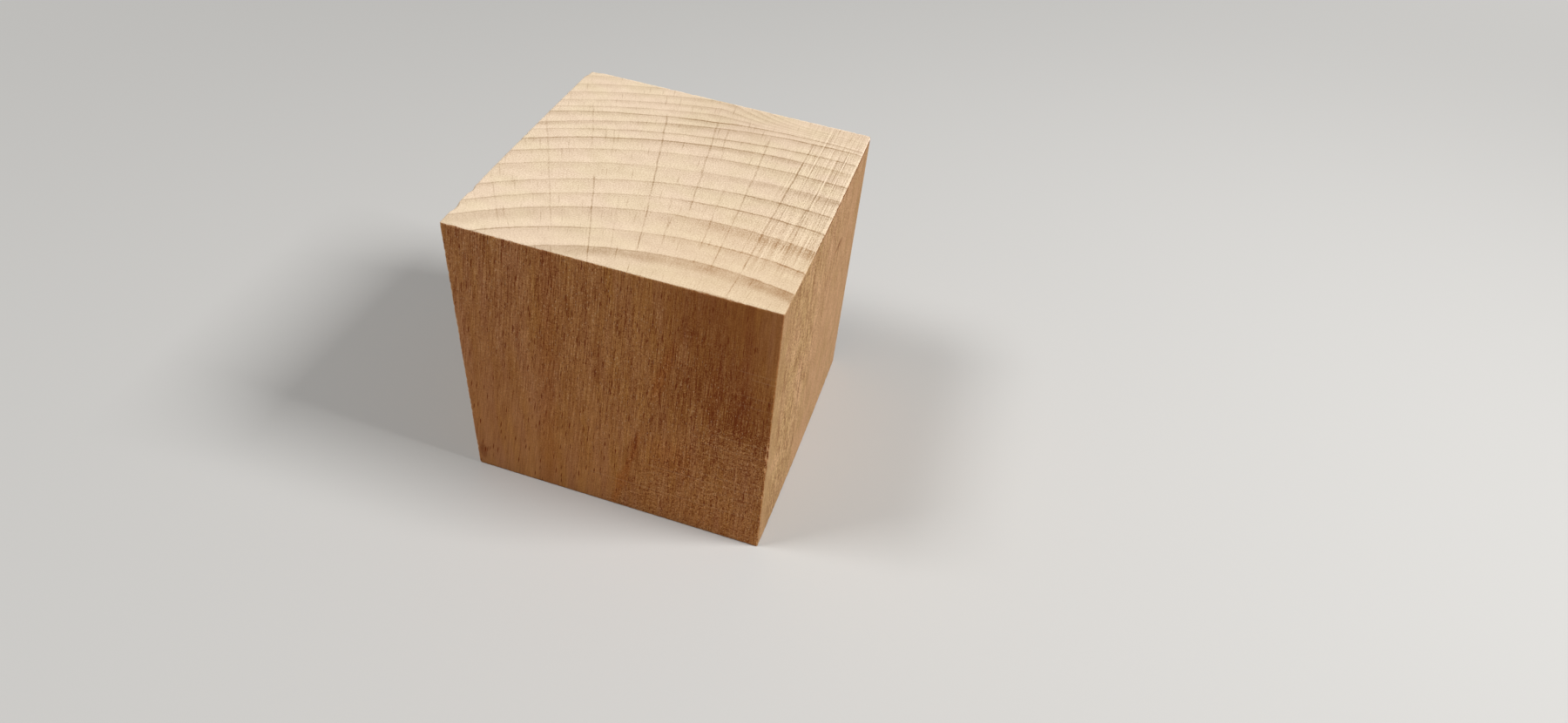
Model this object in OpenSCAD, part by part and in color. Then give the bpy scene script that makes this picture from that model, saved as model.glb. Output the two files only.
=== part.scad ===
// Wooden cube: a solid block crosscut from a square beech batten. The grain runs up the
// block, along Z, so its end grain lies on the top and on the bottom. The batten's two
// back edges were rounded over when it was planed, and its front was sawn, so the two
// front edges are crisper. The block stands on its bottom end, with the origin at the
// middle of that face.

/* [Block] */
// Width of the block along X, between its two quarter-sawn sides
block_width = 50; // [20:0.5:120]
// Depth of the block along Y, between its two flat-sawn sides
block_depth = 48.5; // [20:0.5:120]
// Height of the block along Z, which is the length it was crosscut to
block_height = 49.5; // [20:0.5:120]

/* [Edges] */
// Radius of the two long edges at the back, rounded over along the batten
back_edge_radius = 1; // [0.1:0.1:5]
// Radius of the long edge at the front right, eased a touch more than the left one
right_front_edge_radius = 0.3; // [0.1:0.1:5]
// Radius of the long edge at the front left, almost as the saw left it
left_front_edge_radius = 0.2; // [0.1:0.1:5]
// Radius of the eight edges round the two crosscut ends, almost as the saw left them
end_edge_radius = 0.2; // [0.1:0.1:5]

/* [Hidden] */
// Facets in a full turn of a rounded edge
edge_facets = 64;

// The corners of an outline in order: left front, right front, right back, left back.
// Each gives the sides of the outline that it lies on, as signs along x and y.
CORNERS = [[-1, -1], [1, -1], [1, 1], [-1, 1]];

// Radii of the four long edges, in the order of CORNERS
long_edge_radii = [left_front_edge_radius, right_front_edge_radius,
                   back_edge_radius, back_edge_radius];

// Radii of an outline whose corners are all end edges
end_edge_radii = [for (corner = CORNERS) end_edge_radius];

// Where a corner's round meets the outline's side that faces along x, and along y
function end_on_x_side(corner, half, radius) =
    [corner.x * half.x, corner.y * (half.y - radius)];
function end_on_y_side(corner, half, radius) =
    [corner.x * (half.x - radius), corner.y * half.y];

// The two ends of a corner's round, in the order in which the outline runs through them
function round_ends(corner, half, radius) =
    corner.x * corner.y > 0
        ? [end_on_x_side(corner, half, radius), end_on_y_side(corner, half, radius)]
        : [end_on_y_side(corner, half, radius), end_on_x_side(corner, half, radius)];

// Outline of the block seen along one axis: a length by breadth rectangle with its
// corners rounded, each to its own radius
module eased_outline(length, breadth, radii) {
    half = [length, breadth] / 2;
    polygon([for (i = [0:3]) each round_ends(CORNERS[i], half, radii[i])]);
    for (i = [0:3])
        translate([CORNERS[i].x * (half.x - radii[i]), CORNERS[i].y * (half.y - radii[i])])
            circle(r = radii[i], $fn = edge_facets);
}

// Bar along Z with the block's outline from above, which rounds the long edges
module plan_bar() {
    linear_extrude(height = block_height, center = true)
        eased_outline(block_width, block_depth, long_edge_radii);
}

// Bar along Y with its outline from the front, which rounds the end edges along Y
module front_bar() {
    rotate([90, 0, 0])
        linear_extrude(height = block_depth, center = true)
            eased_outline(block_width, block_height, end_edge_radii);
}

// Bar along X with its outline from the side, which rounds the end edges along X
module side_bar() {
    rotate([90, 0, 90])
        linear_extrude(height = block_width, center = true)
            eased_outline(block_depth, block_height, end_edge_radii);
}

// The block is what the three bars have in common, stood on its bottom end
module wooden_cube() {
    color("burlywood")
        translate([0, 0, block_height / 2])
            intersection() {
                plan_bar();
                front_bar();
                side_bar();
            }
}

wooden_cube();
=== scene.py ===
"""A wooden cube: one solid block of beech, crosscut from a square batten and stood on its end."""

from math import pi, radians

import bpy
from mathutils import Matrix, Vector
from mathutils import noise as solid_noise


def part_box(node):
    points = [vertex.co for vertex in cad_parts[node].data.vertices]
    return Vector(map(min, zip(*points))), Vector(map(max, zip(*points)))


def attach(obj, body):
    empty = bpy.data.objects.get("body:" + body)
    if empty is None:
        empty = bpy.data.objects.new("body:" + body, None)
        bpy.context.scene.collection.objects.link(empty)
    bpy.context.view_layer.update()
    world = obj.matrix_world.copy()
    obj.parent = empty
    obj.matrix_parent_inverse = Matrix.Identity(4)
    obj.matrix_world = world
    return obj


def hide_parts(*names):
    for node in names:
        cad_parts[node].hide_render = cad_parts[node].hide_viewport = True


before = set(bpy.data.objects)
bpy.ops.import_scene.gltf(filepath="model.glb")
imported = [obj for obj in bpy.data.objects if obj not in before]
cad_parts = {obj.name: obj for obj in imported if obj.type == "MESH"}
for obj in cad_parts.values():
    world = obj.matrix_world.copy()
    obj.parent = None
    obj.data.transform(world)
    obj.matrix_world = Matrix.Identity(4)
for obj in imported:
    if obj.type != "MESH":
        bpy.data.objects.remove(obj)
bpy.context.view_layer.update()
mm = 0.001

# ---------------------------------------------------------------------------------------
# Camera. A wide-angle lens held close above the front of the block and tilted to one
# side, so that it sees the top, the front and the right side.
# ---------------------------------------------------------------------------------------
camera_place = Vector((46.53, -121.75, 133.90)) * mm
camera_aim = Vector((20.11, 0.13, 18.38)) * mm
camera_up = Vector((-0.26300, 0.63306, 0.72805))

bpy.ops.object.camera_add(location=camera_place)
camera = bpy.context.object
camera.data.lens = 23.321
camera.data.sensor_width = 36
camera.data.clip_start = 10 * mm
backward = (camera_place - camera_aim).normalized()
rightward = camera_up.cross(backward).normalized()
upward = backward.cross(rightward)
camera.rotation_euler = Matrix((rightward, upward, backward)).transposed().to_euler()
bpy.context.scene.camera = camera

# ---------------------------------------------------------------------------------------
# Block. One solid piece of beech whose grain runs up it, so that its end grain is on the
# top and on the bottom. Its sides were sawn and planed along the batten, it was crosscut
# at both ends, and its edges have small nicks and torn fibres.
# ---------------------------------------------------------------------------------------
block_low, block_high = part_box("wooden_cube")
fibre_room = 0.05 * mm
back_edge_round = 1.0 * mm
right_front_edge_round = 0.3 * mm
sharp_edge_round = 0.2 * mm
grid_cuts = 80
margin = 0.9 * mm
margin_cuts = 2

body_low = block_low + Vector((fibre_room, fibre_room, 0))
body_high = block_high - Vector((fibre_room, fibre_room, fibre_room / 2))

bpy.ops.object.select_all(action="DESELECT")
bpy.ops.mesh.primitive_cube_add(size=1, location=(body_low + body_high) / 2)
block = bpy.context.object
block.name = "beech_block"
block.scale = body_high - body_low
bpy.ops.object.transform_apply(location=True, rotation=True, scale=True)


def edge_round(edge):
    """The radius of one of the twelve edges."""
    start, end = (block.data.vertices[v].co for v in edge.vertices)
    middle = (start + end) / 2
    upright = abs(start.z - end.z) > mm
    if upright and middle.y > 0:
        return back_edge_round
    if upright and middle.x > 0:
        return right_front_edge_round
    return sharp_edge_round


weights = block.data.attributes.new("bevel_weight_edge", "FLOAT", "EDGE")
for edge, weight in zip(block.data.edges, weights.data):
    weight.value = edge_round(edge) / back_edge_round
rounding = block.modifiers.new("rounding", "BEVEL")
rounding.limit_method = "WEIGHT"
rounding.width = back_edge_round
rounding.segments = 3
bpy.ops.object.modifier_apply(modifier=rounding.name)


def select_in_edit_mode(kind, wanted):
    """Goes into edit mode with only those edges or faces selected that the test wants."""
    bpy.ops.object.mode_set(mode="EDIT")
    bpy.ops.mesh.select_mode(type=kind)
    bpy.ops.mesh.select_all(action="DESELECT")
    bpy.ops.object.mode_set(mode="OBJECT")
    items = block.data.edges if kind == "EDGE" else block.data.polygons
    for item in items:
        item.select = wanted(item)
    bpy.ops.object.mode_set(mode="EDIT")


def is_long(edge):
    start, end = (block.data.vertices[v].co for v in edge.vertices)
    return (end - start).length > 10 * mm


def depths(point):
    """How far a point lies inside each of the block's three pairs of faces."""
    return [min(point[a] - body_low[a], body_high[a] - point[a]) for a in range(3)]


def is_near_edge(face):
    return sorted(depths(face.center))[1] < margin


select_in_edit_mode("EDGE", is_long)
bpy.ops.mesh.subdivide(number_cuts=grid_cuts)
select_in_edit_mode("FACE", is_near_edge)
bpy.ops.mesh.subdivide(number_cuts=margin_cuts)
bpy.ops.object.mode_set(mode="OBJECT")
bpy.ops.object.shade_smooth()

# Wear: the left and right sides swell a little in the middle, and the edges have lost crumbs.
# Each larger nick has its place, its reach and its depth.
side_swell = 0.20 * mm
edge_reach = 0.45 * mm
crumb_depth = 0.09 * mm
nicks = [
    (Vector((25, -24.25, 19.0)) * mm, 0.9 * mm, 0.30 * mm),
    (Vector((25, -24.25, 21.6)) * mm, 1.2 * mm, 0.35 * mm),
    (Vector((25, -24.25, 23.8)) * mm, 0.8 * mm, 0.25 * mm),
    (Vector((25, -24.25, 12.5)) * mm, 0.7 * mm, 0.20 * mm),
    (Vector((-25, -15.4, 49.5)) * mm, 1.0 * mm, 0.25 * mm),
    (Vector((-25, -20.0, 49.5)) * mm, 1.2 * mm, 0.30 * mm),
    (Vector((-25, 24.25, 49.5)) * mm, 2.5 * mm, 0.40 * mm),
]
centre = (body_low + body_high) / 2
half_size = (body_high - body_low) / 2
for vertex in block.data.vertices:
    point = vertex.co.copy()
    inside = depths(point)
    edge_share = max(0, 1 - sorted(inside)[1] / edge_reach)
    if edge_share > 0:
        crumbs = solid_noise.noise(point / (0.6 * mm)) + 0.6 * solid_noise.noise(point / (0.25 * mm))
        wear = max(0, crumbs) * crumb_depth * edge_share
        for spot, reach, depth in nicks:
            wear += max(0, 1 - (point - spot).length / reach) * depth * edge_share
        for a in range(3):
            if inside[a] < edge_reach:
                vertex.co[a] += wear if point[a] < centre[a] else -wear
    vertex.co.x *= 1 - side_swell / half_size.x * (point.y / half_size.y) ** 2


class Value:
    """A socket of a material. Maths on it adds Math nodes, so that shading reads as formulas."""

    def __init__(self, tree, socket=None):
        self.tree = tree
        self.socket = socket

    def node(self, kind, settings=None, sockets=None, output=0):
        """Adds a node, sets its settings, then its sockets, and gives one of its outputs."""
        node = self.tree.nodes.new(kind)
        for name, setting in (settings or {}).items():
            setattr(node, name, setting)
        for name, value in (sockets or {}).items():
            if isinstance(value, Value):
                self.tree.links.new(value.socket, node.inputs[name])
            else:
                node.inputs[name].default_value = value
        return None if output is None else Value(self.tree, node.outputs[output])

    def other_output(self, name):
        return Value(self.tree, self.socket.node.outputs[name])

    def math(self, operation, *values):
        return self.node("ShaderNodeMath", {"operation": operation}, dict(enumerate(values)))

    def __add__(self, other):
        return self.math("ADD", self, other)

    def __radd__(self, other):
        return self.math("ADD", other, self)

    def __sub__(self, other):
        return self.math("SUBTRACT", self, other)

    def __rsub__(self, other):
        return self.math("SUBTRACT", other, self)

    def __mul__(self, other):
        return self.math("MULTIPLY", self, other)

    def __rmul__(self, other):
        return self.math("MULTIPLY", other, self)

    def __truediv__(self, other):
        return self.math("DIVIDE", self, other)

    def __rtruediv__(self, other):
        return self.math("DIVIDE", other, self)

    def __abs__(self):
        return self.math("ABSOLUTE", self)

    def least(self, other):
        return self.math("MINIMUM", self, other)

    def most(self, other):
        return self.math("MAXIMUM", self, other)

    def scaled_onto(self, factor, other):
        """This value times the factor, plus the other value."""
        return self.math("MULTIPLY_ADD", self, factor, other)

    def rise(self, start, end):
        """Goes smoothly from 0 to 1 as this value goes from start to end, which may be lower."""
        settings = {"interpolation_type": "SMOOTHSTEP", "clamp": False}
        sockets = {"Value": self, "From Min": start, "From Max": end}
        return self.node("ShaderNodeMapRange", settings, sockets)

    def within(self, low, high, soft):
        """1 where this value lies between low and high, with soft edges that reach outside."""
        return self.rise(low - soft, low) * self.rise(high + soft, high)

    def noise(self, x, y, z, detail=1.0):
        """Noise of about -1 to 1 at a place that is given in widths of its blotches."""
        place = self.node("ShaderNodeCombineXYZ", sockets={0: x, 1: y, 2: z})
        sockets = {"Vector": place, "Scale": 1.0, "Detail": detail}
        return self.node("ShaderNodeTexNoise", sockets=sockets) * 4 - 2

    def spindles(self, across, along, thickness, fewest=0.2):
        """Thin pointed spindles of many strengths, one in each unit of the two lengths."""
        cell = self.node("ShaderNodeCombineXYZ", sockets={0: across, 1: along})
        settings = {"distance": "MINKOWSKI", "voronoi_dimensions": "2D"}
        sockets = {"Vector": cell, "Scale": 1.0, "Exponent": 1.3}
        nearest = self.node("ShaderNodeTexVoronoi", settings, sockets, "Distance")
        draw = self.node("ShaderNodeSeparateColor", sockets={0: nearest.other_output("Color")})
        return nearest.rise(thickness, thickness * 0.5) * draw.rise(fewest, 1.0)

    def mix(self, first, second, blend="MIX"):
        """A colour that goes from the first to the second as this value goes from 0 to 1."""
        settings = {"data_type": "RGBA", "blend_type": blend}
        return self.node("ShaderNodeMix", settings, {0: self, 6: first, 7: second}, output=2)


def paint(red, green, blue):
    """A colour given as on a screen, from 0 to 255, in the linear form that nodes take."""
    shares = [(value / 255) for value in (red, green, blue)]
    return (*[s / 12.92 if s < 0.04045 else ((s + 0.055) / 1.055) ** 2.4 for s in shares], 1.0)


pith_x = 14.6
pith_y = -72.1
pith_bend = 3.4
block_top = 49.5

# Each growth ring: the radius of its outer boundary, the width of its late wood, how dark
# its late wood is and how dark its boundary is. Groups of three are left, middle, right.
growth_rings = [
    ((48.05, 48.05, 48.05), 1.3, (0.45, 0.45, 0.45), (0.1, 0.1, 0.1)),
    ((55.0, 54.2, 53.2), 2.8, (0.26, 0.32, 0.42), (0.10, 0.12, 0.10)),
    ((59.2, 58.4, 58.0), 1.6, (0.12, 0.08, 0.16), (0.35, 0.10, 0.25)),
    ((63.4, 63.6, 63.2), 3.2, (0.22, 0.10, 0.36), (0.15, 0.12, 0.10)),
    ((66.5, 67.4, 67.6), 1.2, (0.14, 0.05, 0.20), (0.18, 0.10, 0.50)),
    ((70.1, 71.2, 72.0), 1.5, (0.16, 0.07, 0.24), (0.15, 0.14, 0.35)),
    ((75.0, 75.3, 76.4), 2.0, (0.14, 0.03, 0.36), (0.15, 0.05, 0.10)),
    ((78.5, 79.6, 80.4), 1.5, (0.20, 0.07, 0.22), (0.20, 0.08, 0.30)),
    ((81.9, 83.1, 84.2), 1.6, (0.14, 0.26, 0.18), (0.30, 0.32, 0.06)),
    ((84.6, 85.4, 87.0), 0.9, (0.06, 0.08, 0.08), (0.10, 0.22, 0.28)),
    ((86.7, 88.6, 90.3), 1.4, (0.22, 0.20, 0.10), (0.10, 0.20, 0.28)),
    ((90.1, 90.4, 92.3), 1.6, (0.18, 0.14, 0.14), (0.18, 0.38, 0.30)),
    ((91.6, 92.7, 92.7), 1.0, (0.05, 0.10, 0.05), (0.12, 0.12, 0.05)),
    ((93.7, 95.0, 95.0), 1.2, (0.08, 0.10, 0.05), (0.10, 0.10, 0.05)),
    ((96.4, 97.4, 97.4), 1.4, (0.10, 0.12, 0.05), (0.12, 0.12, 0.05)),
    ((99.1, 99.6, 99.6), 1.4, (0.08, 0.08, 0.05), (0.10, 0.10, 0.05)),
    ((102.0, 102.0, 102.0), 1.4, (0.08, 0.08, 0.05), (0.08, 0.08, 0.05)),
]

# Each broad ray on the top: its bearing from the pith, where it starts and ends, and how
# dark it is.
broad_rays = [
    (-32.4, 61, 74, 0.4),
    (-25.8, 59, 87, 0.5),
    (-21.1, 80, 92, 0.4),
    (-20.6, 51, 71, 0.9),
    (-18.8, 78, 84, 0.3),
    (-17.4, 55, 66, 0.3),
    (-13.6, 55, 90, 0.9),
    (-10.5, 57, 62, 0.5),
    (-8.35, 66, 90, 0.8),
    (-7.0, 83, 88, 0.6),
    (-5.2, 54, 72, 0.5),
    (-2.5, 54, 88, 0.8),
    (1.8, 49, 89, 0.9),
    (5.0, 61, 76.5, 0.9),
]


# Each fine saw score across the front: where it starts and ends, its height and its strength.
scores = [
    (19.7, 24.6, 37.5, 0.30),
    (21.8, 24.6, 36.4, 0.40),
    (19.7, 24.6, 33.0, 0.25),
    (20.0, 24.6, 31.0, 0.25),
    (16.0, 24.6, 23.2, 0.40),
    (15.0, 24.6, 20.7, 0.35),
    (11.0, 24.6, 13.9, 0.35),
    (6.0, 24.6, 12.2, 0.50),
    (-3.5, 24.6, 6.5, 0.45),
]

# Each soft band of the figure up the front: where it would meet the bottom and the top of the
# block, the heights between which it shows, its width, how dark it is and how red.
front_bands = [
    (-11.9, -9.0, -9, 59, 2.8, 0.05, 0.22),
    (-14.6, -12.6, -9, 59, 2.4, -0.06, 0.0),
    (-0.5, 12.6, 30, 36, 1.7, 0.06, 0.6),
    (-0.5, 12.6, 12, 16, 1.1, 0.17, 0.7),
    (-0.5, 12.6, -2, 7, 1.4, 0.05, 0.6),
    (-1.6, 11.5, 19, 29, 0.6, -0.12, 0.0),
    (10.0, 9.0, 14, 16, 7.0, 0.03, 0.35),
    (20.0, 20.0, 27, 31, 2.6, 0.14, 0.2),
    (19.5, 20.5, 34, 59, 1.6, 0.05, 0.2),
    (15.0, 16.5, 23, 34, 1.4, 0.08, 0.3),
]


def beech():
    """Bare beech: pale end grain with rings and rays, and tan sides with short ray flecks."""
    material = bpy.data.materials.new("beech")
    material.use_nodes = True
    tree = material.node_tree
    tree.nodes.clear()
    wood = Value(tree)

    object_place = wood.node("ShaderNodeTexCoord", output="Object")
    normal = wood.node("ShaderNodeSeparateXYZ", sockets={0: object_place.other_output("Normal")})
    facing = {axis: normal.other_output(axis) for axis in "XYZ"}
    settings = {"operation": "SCALE"}
    sockets = {0: object_place, "Scale": 1 / mm}
    place = wood.node("ShaderNodeVectorMath", settings, sockets)
    place = wood.node("ShaderNodeSeparateXYZ", sockets={0: place})
    x, y, z = (place.other_output(axis) for axis in "XYZ")
    end_grain = abs(facing["Z"]).rise(0.45, 0.75)
    front = facing["Y"].rise(-0.4, -0.8)

    # Rings are cylinders about the pith, which bends, and rays are upright planes through it
    depth = block_top - z
    from_pith_x = x - pith_x
    from_pith_y = y - pith_y
    bearing = wood.math("ARCTAN2", from_pith_x, from_pith_y)
    arc = bearing * 60
    leaning_x = from_pith_x - depth.rise(8, 55) * pith_bend
    leaning_y = from_pith_y - depth.rise(8, 55) * pith_bend
    radius = wood.math("SQRT", leaning_x * leaning_x + leaning_y * leaning_y)
    wobble = wood.noise(arc / 3, radius / 4, z / 12) * 0.08
    wobble = wobble + wood.noise(arc / 0.8, radius / 2, z / 6) * 0.04
    crowding = (radius - 89.5).rise(0, 4) * (radius - 90) * x.rise(-1, 17) * 2.0
    wavy_radius = radius + wobble
    ring = wavy_radius + crowding

    to_left = ((x + wobble) / -25).most(0).least(1)
    to_right = ((x + wobble) / 25).most(0).least(1)
    late_wood = 0
    boundary = 0
    early_wood = 0
    softness = 0.12 + front * z.rise(14, 32) * 0.45
    for radii, width, bands, lines in growth_rings:
        ring_radius, band, line = (
            to_left.scaled_onto(left - middle, to_right.scaled_onto(right - middle, middle))
            for left, middle, right in (radii, bands, lines)
        )
        inside = ring_radius - ring
        within_ring = inside.rise(-1 * softness, softness)
        late_wood = late_wood + inside.rise(width, width * 0.3) * within_ring * band
        boundary = boundary + abs(inside).rise(0.24, 0.05) * line
        early_wood = early_wood + inside.rise(0, -0.3) * inside.rise(-2.2, -0.8)
    patchy = wood.noise(arc / 4, radius / 3, 1.5) * 0.35 + 1
    dotted = wood.noise(arc / 0.4, radius / 0.8, 2.5) * (0.2 + to_right * 0.4) + 1
    boundary = boundary * patchy * dotted
    mottled = wood.noise(arc / 0.5, radius / 0.7, 4.5) * 0.2 + 1
    late_bands = late_wood
    late_wood = late_wood * patchy * mottled

    # Broad rays that show on the top. They curve slightly as they run out from the pith, and
    # their distance from each other is measured along a ring of this radius
    ray_curve = 0.000436
    ray_turn = -0.0305
    ray_ring = 75
    turned = bearing + radius * ray_curve + ray_turn
    ray_lines = 0
    sway = wood.noise(radius / 4, arc / 4, 0) * 0.10 + wood.noise(radius / 0.9, arc / 4, 2) * 0.03
    for degrees, start, end, darkness in broad_rays:
        off = abs(turned * ray_ring + sway - radians(degrees) * ray_ring)
        ray_lines = ray_lines + off.rise(0.19, 0.04) * wavy_radius.within(start, end, 1.5) * darkness
    fading = wood.noise(radius / 2.5, arc / 3, 4) * 0.5 + wood.noise(radius / 0.5, arc / 3, 3) * 0.35
    fading = (fading + 0.8).most(0)
    ray_lines = ray_lines * fading
    fine_rays = wood.spindles(arc / 0.8, radius / 14, 0.14)
    fine_rays = fine_rays + wood.spindles(arc / 0.45, radius / 9 + 7, 0.14)

    # End grain
    speckle_strength = 0.17 + y.rise(-20, -6) * 0.10 - y.rise(5, 25) * 0.12
    speckle = wood.noise(x / 0.21, y / 0.21, 0) * speckle_strength
    fine = wood.noise(arc / 0.2, radius / 1.5, 0)
    mottle = wood.noise(x / 3, y / 2, 3.0)
    sawn_right = x.rise(13, 19) * y.rise(-20, -8) * (1 - y.rise(14, 22) * 0.4)
    sawn_rows = (wood.noise(x / 1.2, y / 6, 8.0) * 0.8 + 0.95).most(0.15)
    sawing = wood.noise(x / 0.23, y / 28, 0.0) * sawn_rows * 0.95
    sawing = (sawing + wood.noise(x / 0.2, y / 0.4, 5) * 0.55) * sawn_right
    scratches = wood.spindles(x / 0.8, y / 30, 0.10) * sawn_right
    stain = (x + 9).rise(0, 8) * (x - 13).rise(0, -8) * (y - 9).rise(0, 6)
    end_tone = 0.70 + to_left * 0.07 - to_right * 0.06 + early_wood * 0.06 - stain * 0.08
    # A pale rim along the right and back edges of the end grain: partly lifted fibres, partly a
    # painted highlight.
    rim_highlight_and_fibres = (x.rise(24.5, 24.7) * y.rise(-16, 4) + y.rise(23.7, 23.95)).least(1)
    rim_highlight_and_fibres = rim_highlight_and_fibres * (wood.noise(x / 1.5, y / 1.5, 3) * 0.5 + 0.8)
    end_tone = end_tone + fine * 0.05 + speckle + mottle * 0.06 + sawing * 0.35 + rim_highlight_and_fibres * 0.35
    end_tone = end_tone - late_wood * 0.85 - boundary * 1.45
    end_tone = end_tone - ray_lines * 0.42 - fine_rays * 0.24 - scratches * 0.5
    orange = x.rise(-6, 14) * ring.rise(71, 60)
    end_dark = orange.mix(paint(160, 128, 92), paint(160, 119, 76))
    warmth = (x - y) * 0.018 - 0.1 + mottle * 0.1
    yellow = wood.noise(x / 7, y / 5, 6).rise(-0.6, 0.8)
    end_light = yellow.mix(paint(244, 220, 193), paint(242, 221, 189))
    end_light = warmth.least(1).most(0).mix(end_light, paint(240, 217, 181))
    end_colour = end_tone.mix(end_dark, end_light)

    # Long grain on the front: rubbed and fibrous in the middle, sawn rough at the lower right,
    # and reddest at the upper right
    on_side = 1 - front
    rubbed = (x + z).rise(-20, 36) * (x + z).rise(70, 40)
    upright = x + y - front * (z - 25) * (0.10 - x * 0.0035)
    threads = wood.noise(upright / (0.13 + on_side * 0.27), radius / 6, z / (5 - on_side * 2))
    grit = wood.noise(x / 0.16, y / 0.40, z / 0.17)
    streaks = wood.noise(upright / 0.8, radius / 6, z / 9)
    dashes = wood.spindles(upright / 0.9, z / 9, 0.11, 0.4)
    dashes = dashes + wood.spindles(upright / 0.7 + 9, z / 7 + 5, 0.12, 0.5)
    specks = wood.spindles(upright / 0.45 + 3, z / 1.5, 0.22, 0.5)
    specks = specks + wood.spindles(upright / 0.4 + 5, z / 4, 0.17, 0.3)
    bold = wood.spindles(upright / 1.6 + 3, z / 10, 0.08, 0.3)
    pale = wood.spindles(upright / 0.45 + 5, z / 1.3 + 3, 0.2, 0.5)
    pale = (pale + wood.spindles(upright / 0.55 + 7, z / 6 + 3, 0.13, 0.4) * 0.6) * rubbed

    uneven = (wood.noise(x / 0.7, 7, z / 1.3) * 0.8 + 0.95).most(0.2)
    rough_front = (x - z * 0.7 + 2.6 + streaks).rise(-2.5, 3.5) * z.rise(28, 23) * front
    sawn_waves = wood.noise(x / 9, 5, z / 2.2)
    cloth = wood.math("SINE", z * 6 + sawn_waves * 2) * 0.25 + wood.noise(x / 2.0, 3, z / 0.17)
    cloth = cloth * (sawn_waves + 0.8).most(0)
    leaning_arc = arc + (25 - z).most(0) * x.rise(-8, 6) * 0.14
    bands = wood.noise(leaning_arc / 1.3, radius / 4, z / 30)
    score_lines = 0
    for start, end, height, strength in scores:
        score = abs(z - height + streaks * 0.04).rise(0.15, 0.03) * x.within(start, end, 1.0)
        score_lines = score_lines + score * strength
    wander = wood.noise(x / 3, 3, z / 5) * 0.4
    band_darkness = 0
    band_redness = 0
    for at_bottom, at_top, low, high, width, darkness, redness in front_bands:
        off = abs(x - at_bottom - z * ((at_top - at_bottom) / block_top) + wander)
        band = off.rise(width * 0.8, width * 0.1) * z.within(low, high, 5)
        band_darkness = band_darkness + band * darkness
        band_redness = band_redness + band * redness
    stain_spot = ((x + 23.6) * (x + 23.6) / 0.6 + (z - 3.4) * (z - 3.4) / 4).rise(1.3, 0.2)
    heart = x.rise(3, 17) * z.rise(19, 27) * (1 - x.rise(18.5, 24.5) * z.rise(28, 42) * 0.7)
    front_tone = 0.51 + z.rise(40, 4) * 0.06 - heart * 0.19 - rough_front * 0.11 - stain_spot * 0.3
    front_tone = front_tone - band_darkness
    front_tone = front_tone + threads * (0.15 + rubbed * uneven * (0.24 - rough_front * 0.14))
    front_tone = front_tone + grit * (0.10 + rubbed * uneven * 0.21)
    front_tone = front_tone + streaks * 0.03 + bands * 0.045
    front_tone = front_tone + (cloth * 0.20 + grit * 0.24) * rough_front * uneven
    front_marks = dashes * (1.0 + rubbed * 0.45 - rough_front * 0.4) + specks * rubbed * 0.6
    front_marks = front_marks + bold * (0.9 + rubbed * 0.5)
    front_tone = front_tone - front_marks - late_bands * 0.15
    fuzz_and_highlight = pale * 0.7 + (threads * 0.6 + grit * 0.8 - 0.3).most(0) * rubbed * uneven * 0.45
    fuzz_and_highlight = fuzz_and_highlight + (cloth * 0.8 + grit * 0.6 - 0.35).most(0) * rough_front * uneven * 0.32
    fuzz_and_highlight = fuzz_and_highlight + score_lines * 0.4
    # A painted highlight along the front's left edge, mixed into the pale fuzz.
    left_edge_highlight = facing["X"].rise(-0.1, -0.5) * front
    burr = z.rise(0.4, 0.15) * x.within(-2, 13, 3) * (wood.noise(x / 0.6, 3, 1) + 0.2).most(0)
    fuzz_and_highlight = fuzz_and_highlight + left_edge_highlight * 0.8 + burr * 0.6
    pinkness = wood.noise(arc / 1.6, radius / 3, z / 14) * 0.4 + 0.40 + to_left * 0.3 - heart * 0.3
    pinkness = (pinkness - band_redness * 0.3).least(1).most(0)
    front_light = pinkness.mix(paint(240, 184, 106), paint(240, 185, 136))
    front_light = band_redness.mix(front_light, paint(244, 164, 88))
    # The front's colours are darker and warmer than the other sides', partly as painted shade on
    # this face.
    shaded_front_colour = front_tone.mix(paint(142, 66, 8), front_light)
    shaded_front_colour = fuzz_and_highlight.mix(shaded_front_colour, paint(250, 222, 184))

    # Long grain on the other sides: planed smooth, apart from the marks of the right side,
    # which is rough along a slanting band behind its front edge
    on_right = facing["X"].rise(0.4, 0.8)
    on_back = facing["Y"].rise(0.4, 0.8)
    rough_side = y.rise(-22.5, -18) * (y - z * 0.5).rise(-4, -22) * on_right
    rough_side = rough_side * (1 - z.rise(24, 42) * 0.4)
    thin_line = abs(y + 8.4 + streaks * 0.3).rise(0.5, 0.1) * z.within(12, 42, 8)
    dark_band = abs(y + 19.6).rise(1.2, 0.2) * z.within(24, 38, 5)
    spot = ((y - 7.6) * (y - 7.6) / 6 + (z - 38.7) * (z - 38.7) / 0.35).rise(1.3, 0.4)
    # The right side grows darker towards its bottom front corner.
    darker_low_front_corner = z.rise(16, 0) * y.rise(0, -20)
    patches = wood.noise(y / 4, x / 4, z / 6)
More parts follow.
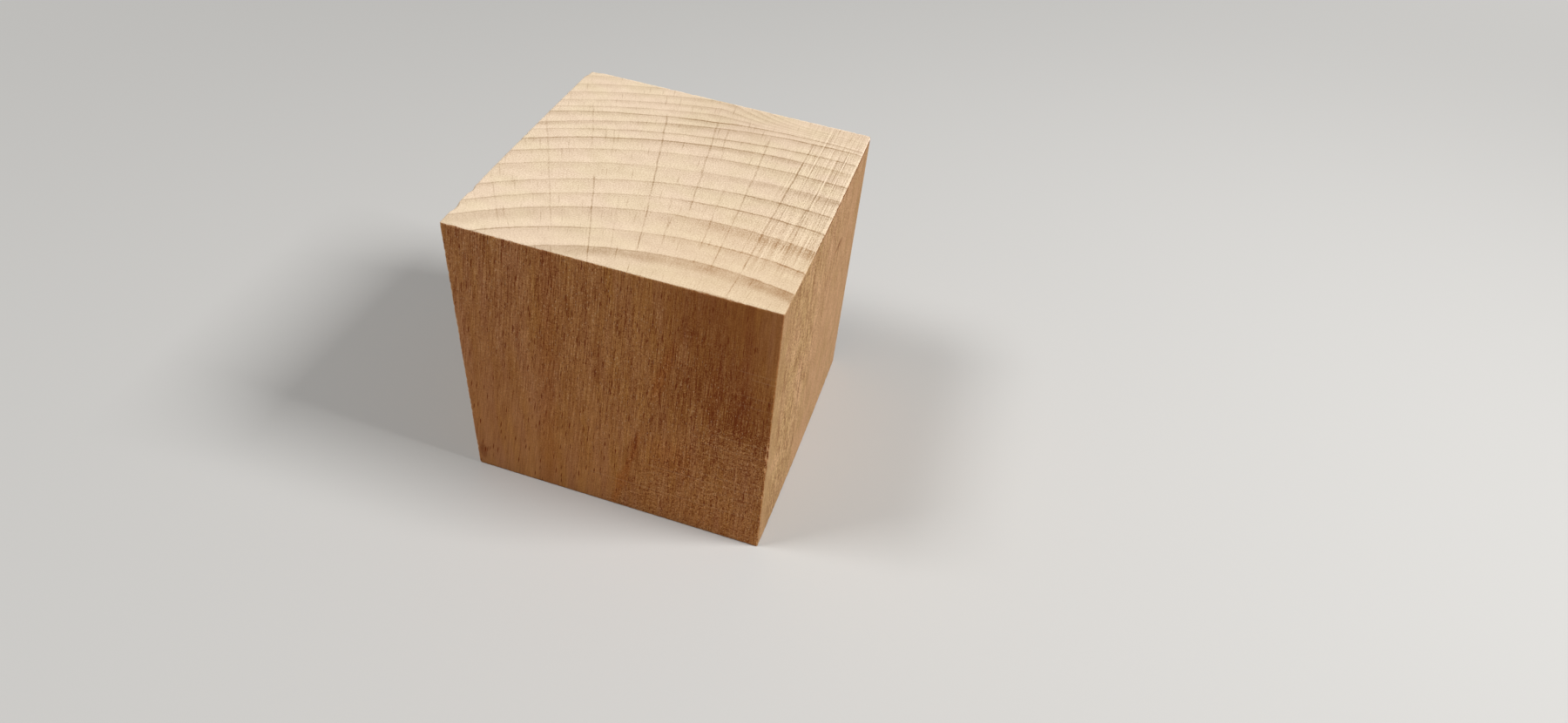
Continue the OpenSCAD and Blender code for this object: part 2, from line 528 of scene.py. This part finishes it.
    # A painted shadow on the right side just under the top's edge, darkened along with the side's
    # marks.
    lip_shadow = z.rise(48.9, 49.15) * y.rise(-16, 0)
    side_tone = 0.57 - z.rise(0, 45) * 0.09 - z.rise(36, 46) * y.rise(-12, -20) * 0.05
    side_marks_and_shadow = darker_low_front_corner * 0.14 + thin_line * 0.28 + dark_band * 0.14
    side_marks_and_shadow = side_marks_and_shadow + spot * 0.35 + lip_shadow * 0.45
    side_tone = side_tone - side_marks_and_shadow * on_right
    side_tone = side_tone + threads * (0.13 + rough_side * 0.28)
    side_tone = side_tone + grit * (0.12 + on_right * 0.12 + rough_side * 0.34)
    side_tone = side_tone + streaks * (0.03 + rough_side * 0.10) + patches * 0.08
    side_tone = side_tone - dashes * (0.08 + rough_side * 0.35 + on_back * 0.4)
    side_light = (y.rise(-14, 4) * 0.6 + patches * 0.6 + streaks * 0.2 + 0.2).least(1).most(0)
    side_light = side_light.mix(paint(231, 199, 147), paint(236, 197, 155))
    side_colour = side_tone.mix(paint(139, 91, 50), side_light)
    side_colour = front.mix(side_colour, shaded_front_colour)
    colour = end_grain.mix(side_colour, end_colour)

    fibres = threads * (0.006 + rubbed * 0.006) - front_marks * 0.012 + cloth * rough_front * 0.01
    relief = (fibres * front + threads * rough_side * on_side * 0.008) * (1 - end_grain)
    relief = relief + (speckle * 0.03 + sawing * 0.02 - ray_lines * 0.02) * end_grain
    bump = wood.node("ShaderNodeBump", sockets={"Height": relief, "Distance": mm, "Strength": 1.0})
    sockets = {"Base Color": colour, "Roughness": 0.8 + streaks * 0.04, "Normal": bump}
    surface = wood.node("ShaderNodeBsdfPrincipled", sockets=sockets)
    surface.node("ShaderNodeOutputMaterial", sockets={"Surface": surface}, output=None)
    return material


block.data.materials.append(beech())
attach(block, "root")
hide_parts("wooden_cube")

# ---------------------------------------------------------------------------------------
# Floor. A plain pale studio sweep, which throws a softer and warmer light back up than
# its own colour would, and runs out into an even pale backdrop beyond the shadow.
# ---------------------------------------------------------------------------------------
floor_side = 6.0
bpy.ops.object.select_all(action="DESELECT")
bpy.ops.mesh.primitive_plane_add(size=floor_side, location=(0, 0, 0))
floor = bpy.context.object
floor.name = "floor"
floor_material = bpy.data.materials.new("pale_floor")
floor_material.use_nodes = True
floor_tree = floor_material.node_tree
floor_tree.nodes.clear()
ground = Value(floor_tree)
seen = ground.node("ShaderNodeLightPath", output="Is Camera Ray")
floor_colour = seen.mix((0.40, 0.27, 0.15, 1), (0.62, 0.61, 0.59, 1))
lit_floor = ground.node("ShaderNodeBsdfDiffuse", sockets={"Color": floor_colour})
backdrop_colour = (0.62, 0.61, 0.59, 1)
far_floor = ground.node("ShaderNodeEmission", sockets={"Color": backdrop_colour, "Strength": 1.0})
floor_place = ground.node("ShaderNodeTexCoord", output="Object")
from_block = ground.node("ShaderNodeVectorMath", {"operation": "LENGTH"}, {0: floor_place}, "Value")
shadow_reach = 0.12
even_from = 0.45
fade = from_block.rise(shadow_reach, even_from) * seen
floor_surface = ground.node("ShaderNodeMixShader", sockets={0: fade, 1: lit_floor, 2: far_floor})
ground.node("ShaderNodeOutputMaterial", sockets={"Surface": floor_surface}, output=None)
floor.data.materials.append(floor_material)

# ---------------------------------------------------------------------------------------
# Lights. Two soft lamps overhead, the stronger at the right, and a dim even sky, which
# the camera sees in the colour of the backdrop.
# ---------------------------------------------------------------------------------------
def soft_lamp(name, direction, distance, side, power):
    bpy.ops.object.light_add(type="AREA", location=Vector(direction).normalized() * distance)
    lamp = bpy.context.object
    lamp.name = name
    lamp.rotation_euler = lamp.location.to_track_quat("Z", "Y").to_euler()
    lamp.data.size = side
    lamp.data.energy = power * (pi * distance) ** 2


soft_lamp("right_lamp", (42, 3.8, 49.4), 0.6, 0.16, 0.78)
soft_lamp("front_left_lamp", (-23.8, -12.8, 49.4), 0.6, 0.16, 0.39)
world = bpy.data.worlds.new("pale_sky")
bpy.context.scene.world = world
world.use_nodes = True
sky = Value(world.node_tree)
sky_seen = sky.node("ShaderNodeLightPath", output="Is Camera Ray")
sky_colour = sky_seen.mix((0.13, 0.13, 0.13, 1), backdrop_colour)
world.node_tree.links.new(sky_colour.socket, world.node_tree.nodes["Background"].inputs["Color"])
bpy.context.scene.view_settings.view_transform = "Standard"
